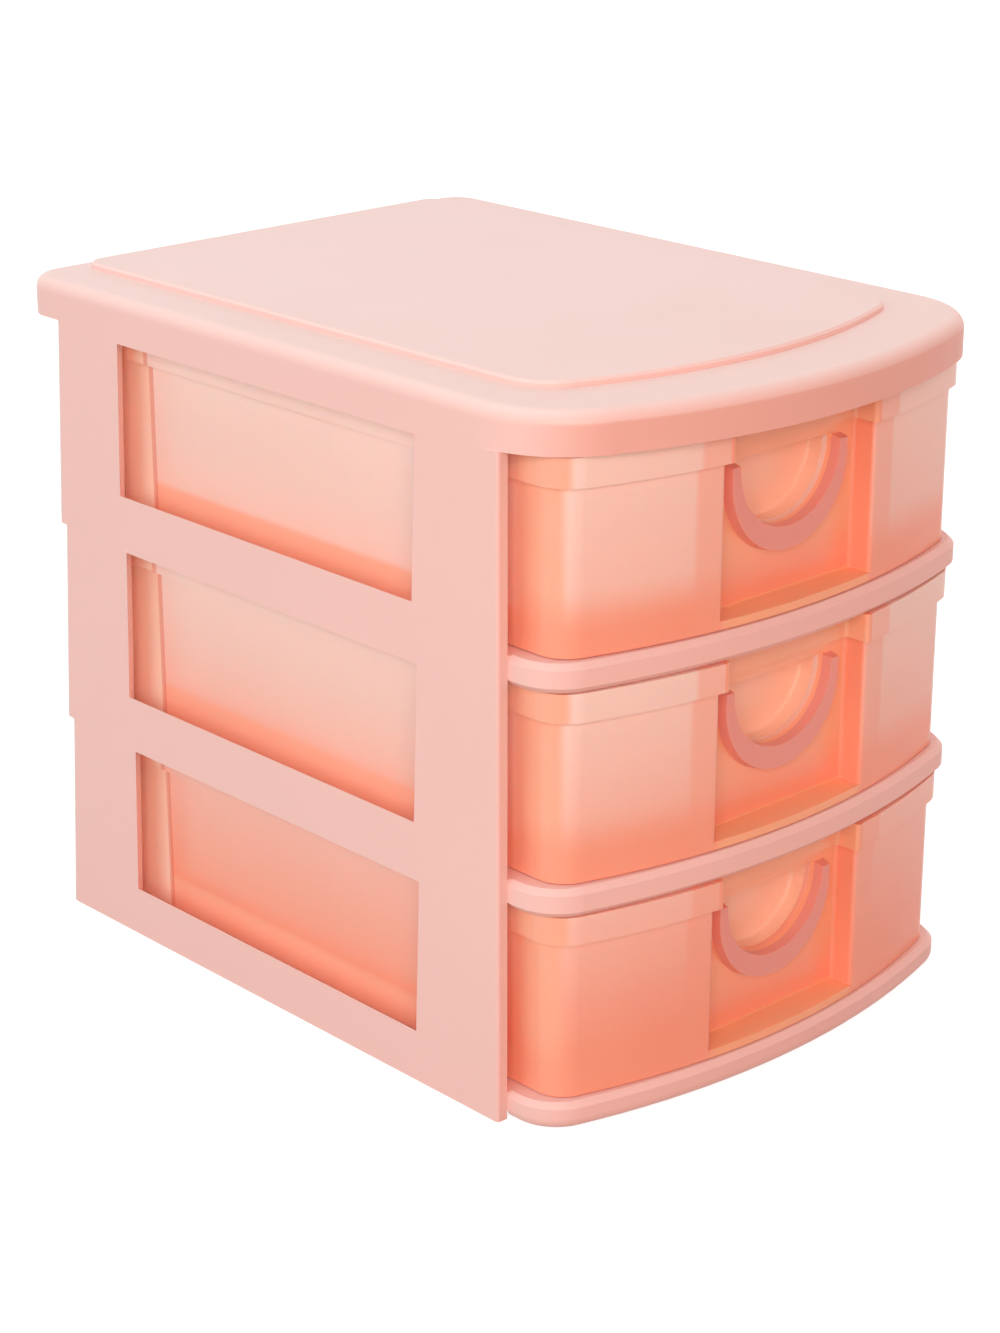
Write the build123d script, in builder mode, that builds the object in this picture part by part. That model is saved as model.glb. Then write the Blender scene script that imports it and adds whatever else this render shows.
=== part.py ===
from build123d import *
from math import sqrt
import os

os.makedirs("parts", exist_ok=True)

# Three-drawer organizer, in millimetres. The drawers open toward -Y, and +Z is up.
# The origin is the middle of the footprint, on the table.

# Tiers, from the table up
shelf_names = ("base_shelf", "lower_shelf", "upper_shelf")
drawer_names = ("lower_drawer", "middle_drawer", "upper_drawer")
tier_pitch = 54.2

# Side panels
body_width = 150.0
panel_depth = 171.4
panel_wall = 3.0
panel_edge_round = 0.8
snap_fit = 0.1

# Rear edge of a side panel: each tier flares out toward its foot, then steps back in
rear_flare = 3.8
rear_step = 2.4
bead_width = 12.4
bead_depth = 3.0
bead_round = 3.5

# Windows in the side panels, measured at half height from the panel's edges and the shelves.
# Their upright edges lean forward, and their walls open out toward the inside.
window_front_margin = 27.8
window_rear_margin = 32.6
window_sill = 6.2
window_head = 8.5
window_lean = 1.6
window_draft = 35.0

# Shelves, their bowed lips and the ledges that carry them. A cheek is the straight side before a bow.
shelf_plate = 2.5
lip_height = 7.0
lip_cheek = 12.2
lip_bow_radius = 215.0
lip_corner = 13.0
lip_wall = 3.6
lip_chamfer = 1.4
base_round = 3.0
ledge = 2.0
ledge_setback = 10.0
back_wall = 2.5

# Lid
lid_cheek = 10.3
lid_rear_overhang = 6.6
lid_skirt = 10.0
lid_wall = 1.6
lid_plate = 2.5
lid_bow_radius = 160.0
lid_front_corner = 26.0
lid_rear_corner = 9.0
lid_edge_round = 3.4
tongue_setback = 10.0

# Raised field on the lid
field_front_border = 20.0
field_side_border = 15.0
field_rear_border = 6.0
field_rise = 1.6
field_front_corner = 14.0
field_rear_corner = 5.0
field_chamfer = 0.6

# Drawers: the side walls run on behind the tub as wings
drawer_cheek = 10.8
drawer_side_gap = 5.0
drawer_seat_gap = 0.3
drawer_head_gap = 0.5
drawer_stop_gap = 1.4
drawer_bow_radius = 195.0
drawer_corner = 8.0
drawer_wall = 1.8
drawer_foot = 7.0
drawer_floor = 2.0
wing_length = 13.0
tub_rear_corner = 3.0
rim_height = 7.0
rim_proud = 1.6
runner_gap = 0.5
runner_thickness = 2.5
runner_setback = 4.0

# Recess and finger hole in a drawer front. The ring round the hole stands proud and is widest below it.
recess_width = 50.5
recess_depth = 8.0
recess_floor = 2.0
recess_round = 1.0
hole_radius = 16.5
hole_drop = 11.0
hole_top_drop = 10.0
hole_draft = 5.0
ring_width = 3.5
ring_drop = 3.0
ring_proud = 3.0
ring_draft = 10.0


def bow_rise(x, radius):
    """How far a bowed front has fallen back at x from its foremost point."""
    return radius - sqrt(radius**2 - x**2)


# Places worked out from the sizes
tiers = len(drawer_names)
half_body = body_width / 2
inner_half = half_body - panel_wall
lid_reach = lid_cheek + bow_rise(half_body, lid_bow_radius)
lid_depth = lid_reach + panel_depth + lid_rear_overhang
lid_front = -lid_depth / 2
lid_rear = lid_depth / 2
lid_bottom = tiers * tier_pitch
lid_top = lid_bottom + lid_skirt
panel_front = lid_front + lid_reach
panel_top = lid_top - lid_plate
bead_front = panel_front + panel_depth - tiers * rear_flare + (tiers - 1) * rear_step - bead_width
back_front = bead_front - back_wall
window_front = panel_front + window_front_margin
window_rear = panel_front + panel_depth - window_rear_margin
window_height = tier_pitch - window_sill - window_head
lip_front = panel_front - lip_cheek - bow_rise(inner_half, lip_bow_radius)
drawer_half = inner_half - drawer_side_gap
drawer_front = panel_front - drawer_cheek - bow_rise(drawer_half, drawer_bow_radius)
drawer_height = tier_pitch - lip_height - drawer_seat_gap - drawer_head_gap
wing_rear = back_front - drawer_stop_gap
tub_rear = wing_rear - wing_length
recess_back = drawer_front + recess_depth
hole_rear = recess_back + drawer_wall
ring_radius = hole_radius + ring_width


def shelf_top(tier):
    """Height of a tier's shelf over the table."""
    return lip_height + tier * tier_pitch


def bow(x, apex, radius):
    """Depth of a bowed front at x, where its foremost point is at apex."""
    return apex + bow_rise(x, radius)


def bow_outline(level, half_width, apex, rear, radius, front_corner, rear_corner=0.0):
    """Level outline with a bowed front, straight sides and a straight rear."""
    end = bow(half_width, apex, radius)
    with BuildSketch(Plane.XY.offset(level)) as outline:
        with BuildLine():
            ThreePointArc((-half_width, end), (0, apex), (half_width, end))
            Polyline((half_width, end), (half_width, rear), (-half_width, rear), (-half_width, end))
        make_face()
        fillet(outline.vertices().sort_by(Axis.Y)[:2], front_corner)
        if rear_corner:
            fillet(outline.vertices().sort_by(Axis.Y)[-2:], rear_corner)
    return outline.sketch


def drawer_outline(level, grow, rear, rear_corner=0.0):
    """Level outline of a drawer with its recess, grown outward at the front and sides."""
    half = drawer_half + grow
    apex = drawer_front - grow
    radius = drawer_bow_radius + grow
    notch = recess_width / 2 - grow
    notch_back = recess_back - grow
    middle = (half + notch) / 2
    end, cheek, brow = (bow(x, apex, radius) for x in (half, middle, notch))
    with BuildSketch(Plane.XY.offset(level)) as outline:
        with BuildLine():
            ThreePointArc((-half, end), (-middle, cheek), (-notch, brow))
            Polyline((-notch, brow), (-notch, notch_back), (notch, notch_back), (notch, brow))
            ThreePointArc((notch, brow), (middle, cheek), (half, end))
            Polyline((half, end), (half, rear), (-half, rear), (-half, end))
        make_face()
        fillet(outline.vertices().filter_by(lambda v: abs(v.X) < middle), recess_round)
        ends = outline.vertices().filter_by(lambda v: abs(v.X) > middle)
        fillet(ends.sort_by(Axis.Y)[:2], drawer_corner + grow)
        if rear_corner:
            fillet(outline.vertices().sort_by(Axis.Y)[-2:], rear_corner)
    return outline.sketch


def finger_outline(depth, centre, radius, top):
    """Upright U shape at a depth: a half circle below, straight sides and a flat top."""
    with BuildSketch(Plane.XZ.offset(-depth)) as outline:
        with BuildLine():
            ThreePointArc((-radius, centre), (0, centre - radius), (radius, centre))
            Polyline((radius, centre), (radius, top), (-radius, top), (-radius, centre))
        make_face()
    return outline.sketch


def panel_section(level, side, rear):
    """Level section of a side panel: a wall with a rounded bead along its rear edge."""
    inner = side * inner_half
    outer = side * half_body
    bead = side * (inner_half - bead_depth)
    face = -1 if side > 0 else 0
    with BuildSketch(Plane.XY.offset(level)) as section:
        with BuildLine():
            Polyline(
                (inner, panel_front),
                (outer, panel_front),
                (outer, rear),
                (bead, rear),
                (bead, rear - bead_width),
                (inner, rear - bead_width),
                close=True,
            )
        make_face()
        fillet(section.vertices().group_by(Axis.X)[face].sort_by(Axis.Y)[-1], bead_round)
        fillet(section.vertices().group_by(Axis.X)[face].sort_by(Axis.Y)[0], panel_edge_round)
    return section.sketch


def window_outline(face, sill):
    """Upright outline of a window over its sill, on a panel's outer face."""
    lean = window_lean / 2
    head = sill + window_height
    with BuildSketch(Plane.YZ.offset(face)) as outline:
        Polygon(
            (window_front + lean, sill),
            (window_rear + lean, sill),
            (window_rear - lean, head),
            (window_front - lean, head),
            align=None,
        )
    return outline.sketch


# Lid: a cover with a skirt, open below, and a raised field on top
with BuildPart() as top_lid:
    extrude(
        bow_outline(
            lid_bottom,
            half_body,
            lid_front,
            lid_rear,
            lid_bow_radius,
            lid_front_corner,
            lid_rear_corner,
        ),
        amount=lid_skirt,
    )
    fillet(top_lid.faces().sort_by(Axis.Z)[-1].edges(), lid_edge_round)
    extrude(
        bow_outline(
            lid_top,
            half_body - field_side_border,
            lid_front + field_front_border,
            lid_rear - field_rear_border,
            lid_bow_radius - field_front_border,
            field_front_corner,
            field_rear_corner,
        ),
        amount=field_rise,
    )
    chamfer(top_lid.faces().sort_by(Axis.Z)[-1].edges(), field_chamfer)
    extrude(
        bow_outline(
            lid_bottom,
            half_body - lid_wall,
            lid_front + lid_wall,
            lid_rear - lid_wall,
            lid_bow_radius - lid_wall,
            lid_front_corner - lid_wall,
            lid_rear_corner - lid_wall,
        ),
        amount=lid_skirt - lid_plate,
        mode=Mode.SUBTRACT,
    )
top_lid.part.label = "top_lid"
export_step(top_lid.part, "parts/top_lid.step")

# Side panels: a wall in flared tiers, with windows, shelf ledges and a tongue under the lid
for side, name in ((-1, "left_side_panel"), (1, "right_side_panel")):
    with BuildPart() as side_panel:
        for tier in range(tiers):
            foot_rear = panel_front + panel_depth - tier * (rear_flare - rear_step)
            tier_top = panel_top if tier == tiers - 1 else (tier + 1) * tier_pitch
            foot = panel_section(tier * tier_pitch, side, foot_rear)
            head = panel_section(tier_top, side, foot_rear - rear_flare)
            loft([foot.face(), head.face()], ruled=True)
        for tier in range(tiers):
            extrude(
                window_outline(side * half_body, shelf_top(tier) + window_sill),
                amount=-side * panel_wall,
                taper=-window_draft,
                mode=Mode.SUBTRACT,
            )
        with BuildSketch(Plane.YZ.offset(side * inner_half)):
            for tier in range(tiers):
                with Locations((back_front, shelf_top(tier) - shelf_plate)):
                    Rectangle(back_front - panel_front - ledge_setback, ledge, align=(Align.MAX, Align.MAX))
        extrude(amount=-side * ledge)
        with BuildSketch(Plane.XY.offset(lid_bottom)):
            with Locations((side * (half_body - lid_wall - snap_fit), panel_front)):
                Rectangle(panel_wall, panel_depth, align=(Align.MIN if side > 0 else Align.MAX, Align.MIN))
            with Locations((side * half_body, panel_front)):
                Rectangle(panel_wall, tongue_setback, align=(Align.MAX if side > 0 else Align.MIN, Align.MIN))
        extrude(amount=lid_skirt, mode=Mode.SUBTRACT)
    side_panel.part.label = name
    export_step(side_panel.part, f"parts/{name}.step")

# Back panel: a plain wall between the side panels, in front of their beads
with BuildPart() as back_panel:
    with BuildSketch(Plane.XZ.offset(-back_front)):
        Rectangle(2 * inner_half, panel_top, align=(Align.CENTER, Align.MIN))
    extrude(amount=-back_wall)
back_panel.part.label = "back_panel"
export_step(back_panel.part, "parts/back_panel.step")

# Shelves: a plate on the ledges and a hollow bowed lip in front
for tier, name in enumerate(shelf_names):
    lip_bottom = shelf_top(tier) - lip_height
    with BuildPart() as shelf:
        extrude(
            bow_outline(lip_bottom, inner_half, lip_front, panel_front, lip_bow_radius, lip_corner),
            amount=lip_height,
        )
        rims = shelf.edges().filter_by(Plane.XY).filter_by(lambda e: e.center().Y < panel_front)
        if tier == 0:
            chamfer(rims.group_by(Axis.Z)[-1], lip_chamfer)
            fillet(rims.group_by(Axis.Z)[0], base_round)
        else:
            chamfer(rims, lip_chamfer)
        extrude(
            bow_outline(
                lip_bottom,
                inner_half - lip_wall,
                lip_front + lip_wall,
                panel_front,
                lip_bow_radius - lip_wall,
                lip_corner - lip_wall,
            ),
            amount=lip_height - shelf_plate,
            mode=Mode.SUBTRACT,
        )
        with BuildSketch(Plane.XY.offset(shelf_top(tier))):
            with Locations((0, panel_front)):
                Rectangle(2 * inner_half, back_front - panel_front, align=(Align.CENTER, Align.MIN))
        extrude(amount=-shelf_plate)
    shelf.part.label = name
    export_step(shelf.part, f"parts/{name}.step")

# Drawers: a bow-fronted tub on a hollow foot, with a rim, side runners and a ringed finger hole
for tier, name in enumerate(drawer_names):
    bottom = shelf_top(tier) + drawer_seat_gap
    top = bottom + drawer_height
    floor_top = bottom + drawer_foot + drawer_floor
    hole_centre = top - hole_drop
    hole_top = top - hole_top_drop
    ring_centre = hole_centre - ring_drop
    with BuildPart() as drawer:
        extrude(drawer_outline(bottom, 0, wing_rear), amount=drawer_height)
        extrude(drawer_outline(top - rim_height, rim_proud, wing_rear), amount=rim_height)
        with BuildSketch(Plane.XY.offset(top)):
            with Locations((0, wing_rear)):
                Rectangle(
                    2 * (inner_half - runner_gap),
                    wing_rear - panel_front - runner_setback,
                    align=(Align.CENTER, Align.MAX),
                )
        extrude(amount=-runner_thickness)
        extrude(
            bow_outline(bottom, drawer_half, drawer_front, panel_front, drawer_bow_radius, drawer_corner),
            amount=recess_floor,
        )
        # Hollows of the tub, of its foot and between the wings
        extrude(
            drawer_outline(floor_top, -drawer_wall, tub_rear - drawer_wall, tub_rear_corner),
            amount=drawer_height,
            mode=Mode.SUBTRACT,
        )
        extrude(
            drawer_outline(bottom, -drawer_wall, tub_rear - drawer_wall, tub_rear_corner),
            amount=drawer_foot,
            mode=Mode.SUBTRACT,
        )
        with BuildSketch(Plane.XY.offset(bottom)):
            with Locations((0, tub_rear)):
                Rectangle(2 * (drawer_half - drawer_wall), wing_length, align=(Align.CENTER, Align.MIN))
        extrude(amount=drawer_height, mode=Mode.SUBTRACT)
        # Finger hole: a ring in front of the recess and a hole through both
        extrude(
            finger_outline(recess_back, ring_centre, ring_radius, hole_top),
            amount=ring_proud,
            taper=ring_draft,
        )
        extrude(
            finger_outline(hole_rear, hole_centre, hole_radius, hole_top),
            amount=drawer_wall + ring_proud,
            taper=-hole_draft,
            mode=Mode.SUBTRACT,
        )
    drawer.part.label = name
    export_step(drawer.part, f"parts/{name}.step")
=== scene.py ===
"""Looks of a three-drawer organizer: a satin pale pink cabinet with translucent coral drawers, in metres."""
import bmesh
import bpy
import math
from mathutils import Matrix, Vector


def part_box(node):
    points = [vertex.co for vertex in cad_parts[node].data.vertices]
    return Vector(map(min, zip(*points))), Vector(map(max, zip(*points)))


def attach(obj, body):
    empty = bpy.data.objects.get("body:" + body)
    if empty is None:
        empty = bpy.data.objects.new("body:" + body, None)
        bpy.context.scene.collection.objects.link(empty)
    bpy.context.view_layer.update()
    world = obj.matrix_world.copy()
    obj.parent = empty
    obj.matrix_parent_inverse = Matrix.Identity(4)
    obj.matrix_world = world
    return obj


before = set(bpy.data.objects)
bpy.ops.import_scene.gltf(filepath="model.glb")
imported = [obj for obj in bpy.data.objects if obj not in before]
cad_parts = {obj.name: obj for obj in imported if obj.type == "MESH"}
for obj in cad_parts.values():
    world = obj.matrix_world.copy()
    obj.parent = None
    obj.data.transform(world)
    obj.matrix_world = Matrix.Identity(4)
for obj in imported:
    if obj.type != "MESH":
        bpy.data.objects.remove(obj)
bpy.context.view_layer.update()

MM = 0.001
PANELS = ("top_lid", "left_side_panel", "right_side_panel", "back_panel")
SHELVES = ("upper_shelf", "lower_shelf", "base_shelf")
DRAWERS = ("upper_drawer", "middle_drawer", "lower_drawer")

# Front of the lid's skirt, where the pink is deeper: painted shade
LID_BOTTOM = 162.6 * MM
SKIRT_BAND = 7.0 * MM
SKIRT_SIDE = -78.0 * MM
SKIRT_FRONT = -92.0 * MM

# Places on a drawer that its coral follows; heights are over the drawer's shelf
TIER_PITCH = 54.2 * MM
SHELF_TOP = 7.0 * MM
FLOOR_HEIGHT = 9.3 * MM
RIM_HEIGHT = 46.7 * MM
TUB_REAR = 61.0 * MM
FLANK_FRONT = -76.0 * MM
FLANK_SOFT = 8.0 * MM
CHEEK_HALF = 66.0 * MM
RECESS_BACK = -89.19 * MM
RECESS_HALF = 25.25 * MM
RECESS_FLOOR = 2.6 * MM
DRAWER_WALL = 1.8 * MM
BAND_WIDTH = 7.0 * MM
RING_FOOT = 11.0 * MM
RING_TOP = 37.0 * MM
RING_HALF = 21.75 * MM

# Painted light from above: the coral is paler toward each rim, and paler from one height over the table to
# another
LIGHT_CLIMB_FROM = 15.0 * MM
LIGHT_CLIMB_TO = 110.0 * MM
RIM_LIGHT_SHARE = 0.4
CLIMB_LIGHT_SHARE = 0.6

# Height of the moulded grain
GRAIN_HEIGHT = 0.05 * MM

# Pocket behind a drawer's finger hole; its drops are measured from the drawer's top
POCKET_MOUTH = RECESS_BACK + DRAWER_WALL
POCKET_DEPTH = 5.5 * MM
POCKET_WALL = 1.2 * MM
POCKET_RADIUS = 17.5 * MM
POCKET_CENTRE_DROP = 11.0 * MM
POCKET_TOP_DROP = 7.5 * MM
POCKET_ROUND = 2.0 * MM
POCKET_STEPS = 28
POCKET_EDGE = 18.75 * MM

# Stage: floor, room light, the point that the lamps face and the camera
FLOOR_SIZE = 6.0
FLOOR_BOUNCE = (0.5, 0.34, 0.29, 1.0)
FLOOR_SEEN = (0.3, 0.3, 0.3, 1.0)
WHITE = (1.0, 1.0, 1.0, 1.0)
NEAR_GLOW = 0.88
FAR_GLOW_GAIN = 0.12
GLOW_NEAR_RADIUS = 0.4
GLOW_FAR_RADIUS = 1.0
ROOM_LIGHT = 0.22
CENTRE = Vector((0, 0, 0.09))
CAMERA_PLACE = (-0.4923, -0.5242, 0.3410)
CAMERA_AZIMUTH = math.radians(-42.91)
CAMERA_ELEVATION = math.radians(20.33)
CAMERA_LENS = 80.23
CAMERA_SENSOR = 36.0


def srgb(red, green, blue):
    """Linear colour, with alpha, from 0-255 screen values."""
    channels = []
    for value in (red, green, blue):
        share = value / 255
        channels.append(share / 12.92 if share <= 0.04045 else ((share + 0.055) / 1.055) ** 2.4)
    return (*channels, 1.0)


# Colours of the plastics
PINK = srgb(243, 206, 200)
# Painted shade on the front of the lid's skirt
PINK_SKIRT_SHADE = srgb(238, 188, 176)
# Painted light: the coral goes from a shaded low colour to a lit high colour up each drawer and up the stack
CORAL_SHADED_LOW = srgb(254, 170, 143)
CORAL_LIT_HIGH = srgb(254, 230, 222)
# Painted shade in the finger recess, on its side walls and on its floor
CORAL_RECESS_SHADE = srgb(254, 188, 150)
CORAL_RECESS_SIDE_SHADE = srgb(254, 166, 130)
CORAL_RECESS_FLOOR_SHADE = srgb(254, 190, 150)
# Painted shade on the cheeks beside the front
CORAL_CHEEK_SHADE = srgb(254, 186, 156)
# Painted shade on the hollow foot, front and flanks
CORAL_FRONT_FOOT_SHADE = srgb(254, 172, 144)
CORAL_FLANK_FOOT_SHADE = srgb(254, 186, 160)
# Painted light on the wings behind the tub, which sit in the side panels' shadow
CORAL_WING_LIGHT = srgb(254, 222, 204)
# Painted shade: a dark line where the tub's rear wall shows through the side
CORAL_REAR_SHADE_LINE = srgb(214, 116, 88)
# Painted shade: a deeper band beside the recess, where its side wall shows through the front
CORAL_BAND_SHADE = srgb(254, 176, 150)
# Painted shade on the ring round the finger hole
CORAL_RING_SHADE = srgb(236, 168, 158)
# Painted light in the pocket behind the finger hole
CORAL_POCKET_LIGHT = srgb(254, 214, 192)


def add_node(tree, kind, settings=None, **inputs):
    """New node with the given settings and input values; a socket as a value is linked."""
    node = tree.nodes.new(kind)
    for name, value in (settings or {}).items():
        setattr(node, name, value)
    for name, value in inputs.items():
        socket = node.inputs[int(name[1:])] if name[1:].isdigit() else node.inputs[name.replace("_", " ")]
        if isinstance(value, bpy.types.NodeSocket):
            tree.links.new(value, socket)
        else:
            socket.default_value = value
    return node


def maths(tree, operation, first, second=0.0):
    """Result of a Math node on two values or sockets."""
    return add_node(tree, "ShaderNodeMath", {"operation": operation}, i0=first, i1=second).outputs[0]


def blend_colours(tree, share, first, second):
    """Colour between two, by a share from 0 to 1."""
    node = add_node(tree, "ShaderNodeMix", {"data_type": "RGBA"}, i0=share, i6=first, i7=second)
    return node.outputs[2]


def ramp(tree, value, low, high, smooth=True):
    """Share that goes from 0 at low to 1 at high."""
    kind = "SMOOTHSTEP" if smooth else "LINEAR"
    node = add_node(tree, "ShaderNodeMapRange", {"interpolation_type": kind}, i0=value, i1=low, i2=high)
    return node.outputs[0]


def between(tree, value, low, high, soft):
    """Share that is 1 from low to high, with soft ends outside them."""
    return maths(tree, "MULTIPLY", ramp(tree, value, low - soft, low), ramp(tree, value, high + soft, high))


def product(tree, first, second):
    """One share times another."""
    return maths(tree, "MULTIPLY", first, second)


def new_group(name, inputs, outputs):
    """Empty shader node group with named sockets."""
    group = bpy.data.node_groups.new(name, "ShaderNodeTree")
    for label, kind in inputs:
        group.interface.new_socket(label, in_out="INPUT", socket_type=kind)
    for label, kind in outputs:
        group.interface.new_socket(label, in_out="OUTPUT", socket_type=kind)
    start = group.nodes.new("NodeGroupInput")
    end = group.nodes.new("NodeGroupOutput")
    return group, start.outputs, end.inputs


def moulded_tint_group():
    """Faint clouds of paler and deeper plastic, as the melt leaves them."""
    group, given, result = new_group(
        "moulded_tint",
        (("Vector", "NodeSocketVector"), ("Color", "NodeSocketColor"), ("Cloud Scale", "NodeSocketFloat"),
         ("Depth", "NodeSocketFloat")),
        (("Color", "NodeSocketColor"),),
    )
    scale = given["Cloud Scale"]
    clouds = add_node(group, "ShaderNodeTexNoise", Vector=given["Vector"], Scale=scale, Detail=3.0)
    swing = maths(group, "MULTIPLY", maths(group, "SUBTRACT", clouds.outputs["Fac"], 0.5), given["Depth"])
    tone = add_node(group, "ShaderNodeHueSaturation", Color=given["Color"])
    group.links.new(maths(group, "ADD", swing, 1.0), tone.inputs["Value"])
    group.links.new(maths(group, "SUBTRACT", 1.0, swing), tone.inputs["Saturation"])
    group.links.new(tone.outputs["Color"], result["Color"])
    return group


def satin_grain_group():
    """Fine grain of a moulded skin: its roughness and its height."""
    group, given, result = new_group(
        "satin_grain",
        (("Vector", "NodeSocketVector"), ("Grain Scale", "NodeSocketFloat"), ("Roughness", "NodeSocketFloat"),
         ("Spread", "NodeSocketFloat")),
        (("Roughness", "NodeSocketFloat"), ("Height", "NodeSocketFloat")),
    )
    scale = given["Grain Scale"]
    grain = add_node(group, "ShaderNodeTexNoise", Vector=given["Vector"], Scale=scale, Detail=2.0)
    broad = add_node(group, "ShaderNodeTexNoise", Vector=given["Vector"], Scale=40.0, Detail=2.0)
    swing = maths(group, "MULTIPLY", maths(group, "SUBTRACT", broad.outputs["Fac"], 0.5), given["Spread"])
    group.links.new(maths(group, "ADD", given["Roughness"], swing), result["Roughness"])
    group.links.new(grain.outputs["Fac"], result["Height"])
    return group


def new_material(name):
    """Empty node material, with its Principled shader wired to the output."""
    material = bpy.data.materials.new(name)
    material.use_nodes = True
    tree = material.node_tree
    tree.nodes.clear()
    shader = tree.nodes.new("ShaderNodeBsdfPrincipled")
    output = tree.nodes.new("ShaderNodeOutputMaterial")
    tree.links.new(shader.outputs["BSDF"], output.inputs["Surface"])
    return material, tree, shader


def finish_skin(tree, shader, place, color, tint, grain):
    """Wires the shared tint and grain groups to a shader."""
    cloud_scale, depth = tint
    clouds = add_node(
        tree, "ShaderNodeGroup", {"node_tree": tint_group},
        Vector=place, Color=color, Cloud_Scale=cloud_scale, Depth=depth,
    )
    tree.links.new(clouds.outputs["Color"], shader.inputs["Base Color"])
    grain_scale, roughness, spread, strength = grain
    skin = add_node(
        tree, "ShaderNodeGroup", {"node_tree": grain_group},
        Vector=place, Grain_Scale=grain_scale, Roughness=roughness, Spread=spread,
    )
    tree.links.new(skin.outputs["Roughness"], shader.inputs["Roughness"])
    height = skin.outputs["Height"]
    bump = add_node(tree, "ShaderNodeBump", Strength=strength, Distance=GRAIN_HEIGHT, Height=height)
    tree.links.new(bump.outputs["Normal"], shader.inputs["Normal"])


def satin_pink_plastic():
    """Opaque pale pink moulding, with painted shade on the front of the lid's skirt."""
    material, tree, shader = new_material("satin_pink_plastic")
    place = tree.nodes.new("ShaderNodeTexCoord").outputs["Object"]
    parts = add_node(tree, "ShaderNodeSeparateXYZ", Vector=place).outputs
    # Painted shade: a deeper pink on the front of the lid's skirt, where less light falls
    shade_band = between(tree, parts["Z"], LID_BOTTOM, LID_BOTTOM + SKIRT_BAND, 0.5 * MM)
    skirt_shade = product(tree, shade_band, ramp(tree, parts["Y"], SKIRT_SIDE, SKIRT_FRONT))
    color = blend_colours(tree, skirt_shade, PINK, PINK_SKIRT_SHADE)
    finish_skin(tree, shader, place, color, (14.0, 0.05), (900.0, 0.45, 0.12, 0.25))
    shader.inputs["IOR"].default_value = 1.5
    return material


def front_shade_tones(tree, color, across, recess_shade, flank):
    """Painted shade: deeper coral in the recess and on the cheeks beside the front."""
    side = ramp(tree, across, RECESS_HALF - 0.7 * MM, RECESS_HALF - 0.3 * MM)
    recess_shade_lining = blend_colours(tree, side, CORAL_RECESS_SHADE, CORAL_RECESS_SIDE_SHADE)
    color = blend_colours(tree, product(tree, recess_shade, 0.85), color, recess_shade_lining)
    # Painted shade on the cheeks, where the side panels shade the drawer
    outer = ramp(tree, across, CHEEK_HALF - 2.0 * MM, CHEEK_HALF)
    cheek_shade = product(tree, outer, maths(tree, "SUBTRACT", 1.0, flank))
    return blend_colours(tree, product(tree, cheek_shade, 0.9), color, CORAL_CHEEK_SHADE)


def foot_shade_tones(tree, color, height, recess_shade, flank):
    """Painted shade: deep orange below the floor, where no light comes through from inside, with a softer
    edge on the front than on the flanks.
    """
    front_foot_shade = ramp(tree, height, FLOOR_HEIGHT + 8.0 * MM, FLOOR_HEIGHT - 4.0 * MM)
    color = blend_colours(tree, maths(tree, "SUBTRACT", front_foot_shade, flank), color, CORAL_FRONT_FOOT_SHADE)
    flank_foot_shade = ramp(tree, height, FLOOR_HEIGHT + 1.0 * MM, FLOOR_HEIGHT - 1.2 * MM)
    color = blend_colours(tree, product(tree, flank_foot_shade, flank), color, CORAL_FLANK_FOOT_SHADE)
    # Painted shade on the recess floor
    recess_floor_shade = product(tree, ramp(tree, height, RECESS_FLOOR + 0.4 * MM, RECESS_FLOOR), recess_shade)
    return blend_colours(tree, recess_floor_shade, color, CORAL_RECESS_FLOOR_SHADE)


def inner_wall_light_and_shade(tree, color, across, depth):
    """Painted light on the wings behind the tub, and painted shade where the rear and recess walls show
    through the skin.
    """
    wing_light = ramp(tree, depth, TUB_REAR - 0.5 * MM, TUB_REAR)
    color = blend_colours(tree, wing_light, color, CORAL_WING_LIGHT)
    # Painted shade line at the tub's rear wall
    rear_shade_line = between(tree, depth, TUB_REAR - 0.9 * MM, TUB_REAR + 0.4 * MM, 0.4 * MM)
    color = blend_colours(tree, product(tree, rear_shade_line, 0.5), color, CORAL_REAR_SHADE_LINE)
    # Painted shade in the band beside the recess
    front = ramp(tree, depth, RECESS_BACK + 4.0 * MM, RECESS_BACK + 1.0 * MM)
    shade_band = between(tree, across, RECESS_HALF, RECESS_HALF + BAND_WIDTH, 2.0 * MM)
    return blend_colours(tree, product(tree, product(tree, shade_band, front), 0.5), color, CORAL_BAND_SHADE)


def finger_light_and_shade(tree, color, height, across, depth):
    """Painted shade: a mauve ring round the finger hole; painted light: paler coral in the pocket behind it.
    """
    proud = ramp(tree, depth, RECESS_BACK - 0.2 * MM, RECESS_BACK - 0.5 * MM)
    ring_shade = product(tree, proud, ramp(tree, across, RING_HALF + 0.5 * MM, RING_HALF))
    ring_shade = product(tree, ring_shade, between(tree, height, RING_FOOT, RING_TOP, 0.8 * MM))
    color = blend_colours(tree, ring_shade, color, CORAL_RING_SHADE)
    # Painted light: paler coral in the pocket
    pocket = between(tree, depth, POCKET_MOUTH + 0.3 * MM, POCKET_MOUTH + POCKET_DEPTH, 0.2 * MM)
    pocket = product(tree, pocket, ramp(tree, across, POCKET_EDGE + 0.5 * MM, POCKET_EDGE))
    return blend_colours(tree, pocket, color, CORAL_POCKET_LIGHT)


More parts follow.
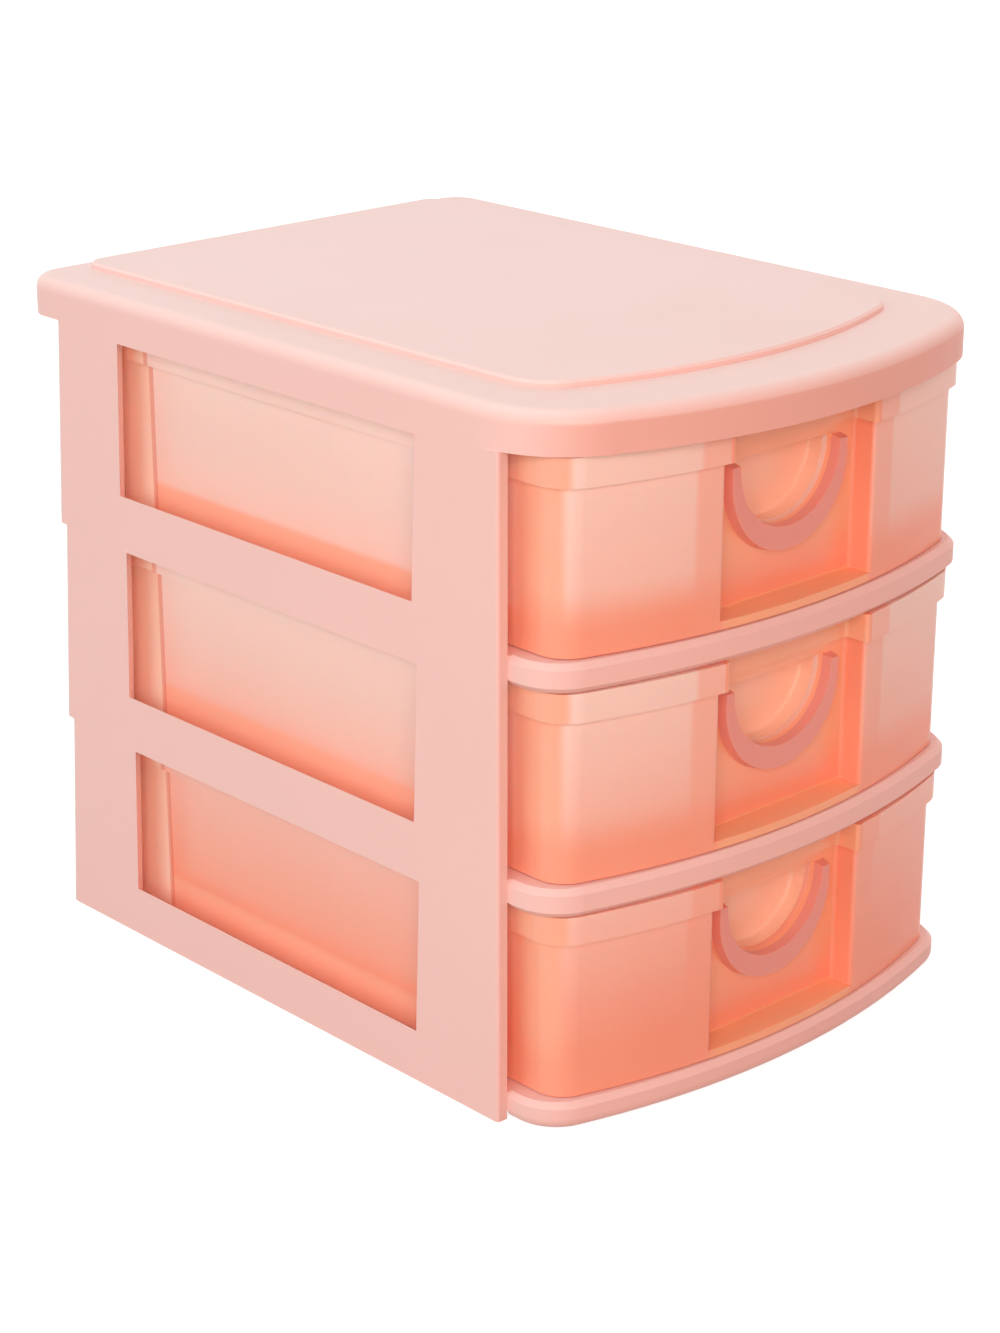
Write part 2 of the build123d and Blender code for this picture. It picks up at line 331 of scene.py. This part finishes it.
def translucent_coral_plastic():
    """Coral moulding that lets some light in, with painted light that makes it paler toward the top, and
    painted shade on the front and foot.
    """
    material, tree, shader = new_material("translucent_coral_plastic")
    place = tree.nodes.new("ShaderNodeTexCoord").outputs["Object"]
    parts = add_node(tree, "ShaderNodeSeparateXYZ", Vector=place).outputs
    height = maths(tree, "MODULO", maths(tree, "SUBTRACT", parts["Z"], SHELF_TOP), TIER_PITCH)
    across = maths(tree, "ABSOLUTE", parts["X"])
    depth = parts["Y"]
    # Painted light from above: paler up each drawer and up the stack
    rim_light = ramp(tree, height, FLOOR_HEIGHT, RIM_HEIGHT, smooth=False)
    climb_light = ramp(tree, parts["Z"], LIGHT_CLIMB_FROM, LIGHT_CLIMB_TO)
    painted_light = maths(tree, "ADD", product(tree, rim_light, RIM_LIGHT_SHARE), product(tree, climb_light, CLIMB_LIGHT_SHARE))
    color = blend_colours(tree, painted_light, CORAL_SHADED_LOW, CORAL_LIT_HIGH)
    before_back = ramp(tree, depth, RECESS_BACK + 1.0 * MM, RECESS_BACK + 0.5 * MM)
    recess_shade = product(tree, before_back, ramp(tree, across, RECESS_HALF + 0.4 * MM, RECESS_HALF))
    flank = ramp(tree, depth, FLANK_FRONT, FLANK_FRONT + FLANK_SOFT)
    color = front_shade_tones(tree, color, across, recess_shade, flank)
    color = foot_shade_tones(tree, color, height, recess_shade, flank)
    color = inner_wall_light_and_shade(tree, color, across, depth)
    color = finger_light_and_shade(tree, color, height, across, depth)
    finish_skin(tree, shader, place, color, (18.0, 0.06), (500.0, 0.3, 0.1, 0.12))
    shader.inputs["Subsurface Weight"].default_value = 0.5
    shader.inputs["Subsurface Radius"].default_value = (1.0, 0.5, 0.35)
    shader.inputs["Subsurface Scale"].default_value = 1.2 * MM
    shader.inputs["IOR"].default_value = 1.45
    return material


def finger_pocket(drawer, material):
    """U-shaped pocket behind a drawer's finger hole, where the fingertip goes; it closes off the drawer's
    dark inside, and its pale coral is painted light.
    """
    drawer_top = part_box(drawer)[1].z
    centre = drawer_top - POCKET_CENTRE_DROP
    top = drawer_top - POCKET_TOP_DROP
    outline = [(POCKET_RADIUS, top)]
    for step in range(POCKET_STEPS + 1):
        angle = math.pi * step / POCKET_STEPS
        outline.append((POCKET_RADIUS * math.cos(angle), centre - POCKET_RADIUS * math.sin(angle)))
    outline.append((-POCKET_RADIUS, top))
    shell = bmesh.new()
    back = shell.faces.new([shell.verts.new((x, POCKET_MOUTH + POCKET_DEPTH, z)) for x, z in outline])
    sides = bmesh.ops.extrude_edge_only(shell, edges=back.edges[:])
    rim = [part for part in sides["geom"] if isinstance(part, bmesh.types.BMVert)]
    bmesh.ops.translate(shell, vec=(0, -POCKET_DEPTH, 0), verts=rim)
    bmesh.ops.bevel(
        shell, geom=back.edges[:], offset=POCKET_ROUND, segments=4, profile=0.5, affect="EDGES", material=-1
    )
    bmesh.ops.recalc_face_normals(shell, faces=shell.faces[:])
    bmesh.ops.solidify(shell, geom=shell.faces[:], thickness=POCKET_WALL)
    bmesh.ops.recalc_face_normals(shell, faces=shell.faces[:])
    mesh = bpy.data.meshes.new(f"{drawer}_finger_pocket")
    shell.to_mesh(mesh)
    shell.free()
    mesh.materials.append(material)
    pocket = bpy.data.objects.new(mesh.name, mesh)
    bpy.context.scene.collection.objects.link(pocket)
    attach(pocket, drawer)


def dress(node_names, material):
    """Gives CAD nodes one material."""
    for name in node_names:
        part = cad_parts[name]
        part.data.materials.clear()
        part.data.materials.append(material)


def background_share(tree):
    """1 for rays that see the background: from the camera, in gloss and through glass."""
    path = tree.nodes.new("ShaderNodeLightPath").outputs
    seen = maths(tree, "MAXIMUM", path["Is Camera Ray"], path["Is Glossy Ray"])
    return maths(tree, "MAXIMUM", seen, path["Is Transmission Ray"])


def white_ground():
    """Plain pale floor that looks white and keeps the object's shadow."""
    bpy.ops.mesh.primitive_plane_add(size=FLOOR_SIZE, location=(0, 0, 0))
    floor = bpy.context.object
    floor.name = "floor"
    material = bpy.data.materials.new("pale_floor")
    material.use_nodes = True
    tree = material.node_tree
    tree.nodes.clear()
    plain = add_node(tree, "ShaderNodeBsdfDiffuse", Color=FLOOR_BOUNCE)
    faint = add_node(tree, "ShaderNodeBsdfDiffuse", Color=FLOOR_SEEN)
    place = tree.nodes.new("ShaderNodeTexCoord").outputs["Object"]
    away = add_node(tree, "ShaderNodeVectorMath", {"operation": "LENGTH"}, i0=place).outputs["Value"]
    lift = product(tree, ramp(tree, away, GLOW_NEAR_RADIUS, GLOW_FAR_RADIUS), FAR_GLOW_GAIN)
    glow = add_node(tree, "ShaderNodeEmission", Color=WHITE, Strength=maths(tree, "ADD", lift, NEAR_GLOW))
    seen = add_node(tree, "ShaderNodeAddShader", i0=faint.outputs[0], i1=glow.outputs[0])
    mix = add_node(
        tree, "ShaderNodeMixShader", i0=background_share(tree), i1=plain.outputs[0], i2=seen.outputs[0]
    )
    add_node(tree, "ShaderNodeOutputMaterial", Surface=mix.outputs[0])
    floor.data.materials.append(material)


def studio_world():
    """Even room light, with a white background."""
    world = bpy.data.worlds.new("studio")
    bpy.context.scene.world = world
    world.use_nodes = True
    tree = world.node_tree
    tree.nodes.clear()
    room = add_node(tree, "ShaderNodeBackground", Color=WHITE, Strength=ROOM_LIGHT)
    white = add_node(tree, "ShaderNodeBackground", Color=WHITE, Strength=1.0)
    mix = add_node(
        tree, "ShaderNodeMixShader", i0=background_share(tree), i1=room.outputs[0], i2=white.outputs[0]
    )
    add_node(tree, "ShaderNodeOutputWorld", Surface=mix.outputs[0])


def soft_lamp(name, place, power, color, size=1.0, shines=False):
    """Square area lamp turned to the object, which may shine in its gloss."""
    lamp = bpy.data.lights.new(name, "AREA")
    lamp.shape = "SQUARE"
    lamp.size = size
    lamp.energy = power
    lamp.color = color
    holder = bpy.data.objects.new(name, lamp)
    holder.location = place
    holder.rotation_euler = (CENTRE - Vector(place)).to_track_quat("-Z", "Y").to_euler()
    holder.visible_glossy = shines
    bpy.context.scene.collection.objects.link(holder)


def photo_camera():
    """Camera at the photograph's angle."""
    camera = bpy.data.cameras.new("camera")
    camera.lens = CAMERA_LENS
    camera.sensor_width = CAMERA_SENSOR
    holder = bpy.data.objects.new("camera", camera)
    holder.location = CAMERA_PLACE
    holder.rotation_euler = (math.pi / 2 - CAMERA_ELEVATION, 0, CAMERA_AZIMUTH)
    bpy.context.scene.collection.objects.link(holder)
    bpy.context.scene.camera = holder


# Materials and finger pockets
tint_group = moulded_tint_group()
grain_group = satin_grain_group()
dress(PANELS + SHELVES, satin_pink_plastic())
coral = translucent_coral_plastic()
dress(DRAWERS, coral)
for drawer_name in DRAWERS:
    finger_pocket(drawer_name, coral)

# Stage, lamps and camera
white_ground()
studio_world()
soft_lamp("camera_key", (-0.95, -1.0, 0.62), 11.6, (1.0, 0.71, 0.6), size=0.8, shines=True)
soft_lamp("overhead", (-0.1, 0.2, 1.3), 7.6, (0.74, 1.0, 1.0), shines=True)
soft_lamp("left_fill", (-1.33, 0.05, 0.5), 6, (0.85, 0.95, 1.0))
soft_lamp("front_fill", (0.5, -1.25, 0.3), 3.4, (1.0, 0.25, 0.12))
soft_lamp("right_fill", (1.3, 0.2, 0.5), 7.5, (1.0, 0.72, 0.64))
soft_lamp("rear_fill", (0.0, 1.4, 0.6), 5, (1.0, 0.96, 0.94))
photo_camera()
bpy.context.scene.view_settings.view_transform = "Standard"
bpy.context.scene.cycles.diffuse_bounces = 16
bpy.context.scene.cycles.max_bounces = 24
